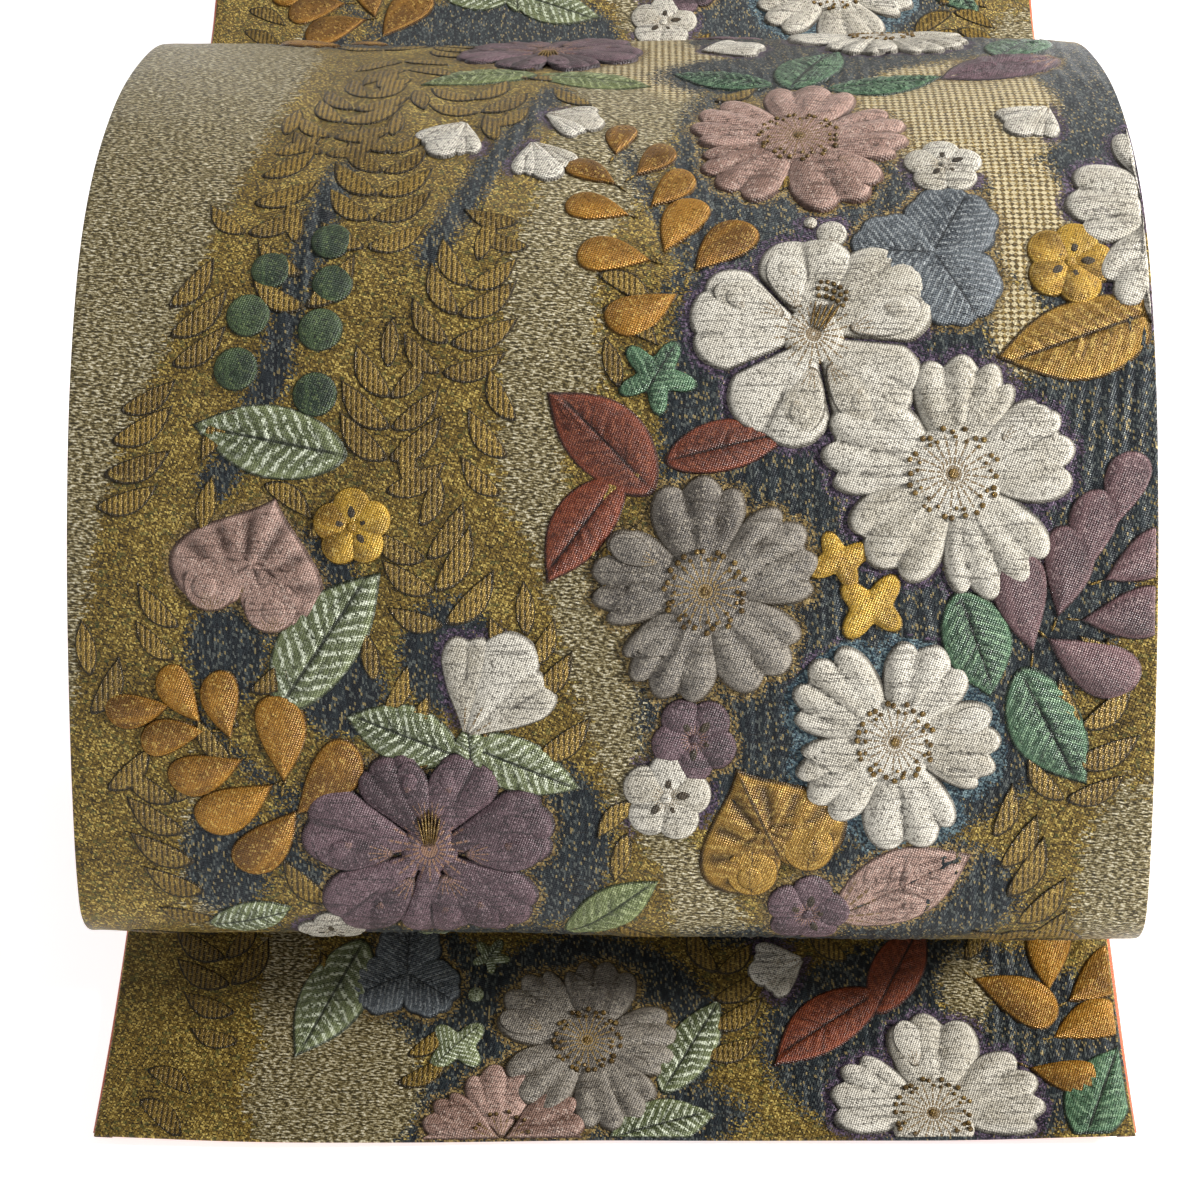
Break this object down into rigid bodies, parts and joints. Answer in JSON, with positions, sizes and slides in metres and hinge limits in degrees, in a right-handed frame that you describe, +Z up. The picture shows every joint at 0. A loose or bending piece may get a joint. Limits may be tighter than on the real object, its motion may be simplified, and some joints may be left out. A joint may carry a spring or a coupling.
{
  "type": "obi sash folded into its drum shape",
  "caption": "Lined brocade sash lying folded: flat tail end in front, hollow drum fold open at both sides, and a top band over the folded rest.",
  "frame": {"origin": "bottom centre of the whole object's box, on the surface that it lies on", "axes": "+Z up, +Y along the strip away from the tail end at the front, +X across the sash to the right as seen from the tail end"},
  "size_m": [0.31, 0.77, 0.1862],
  "materials": {
    "brocade": "figured silk brocade with flat gold thread, raised flowers in ivory, pink, mauve and green",
    "lining": "plain orange-red silk with a soft sheen"
  },
  "bodies": {
    "root": {"tail_brocade": "brocade", "tail_lining": "lining", "inner_return_brocade": "brocade", "inner_return_lining": "lining", "drum_brocade": "brocade", "drum_lining": "lining", "top_band_brocade": "brocade", "top_band_lining": "lining", "folded_rest": "brocade"}
  },
  "joints": []
}
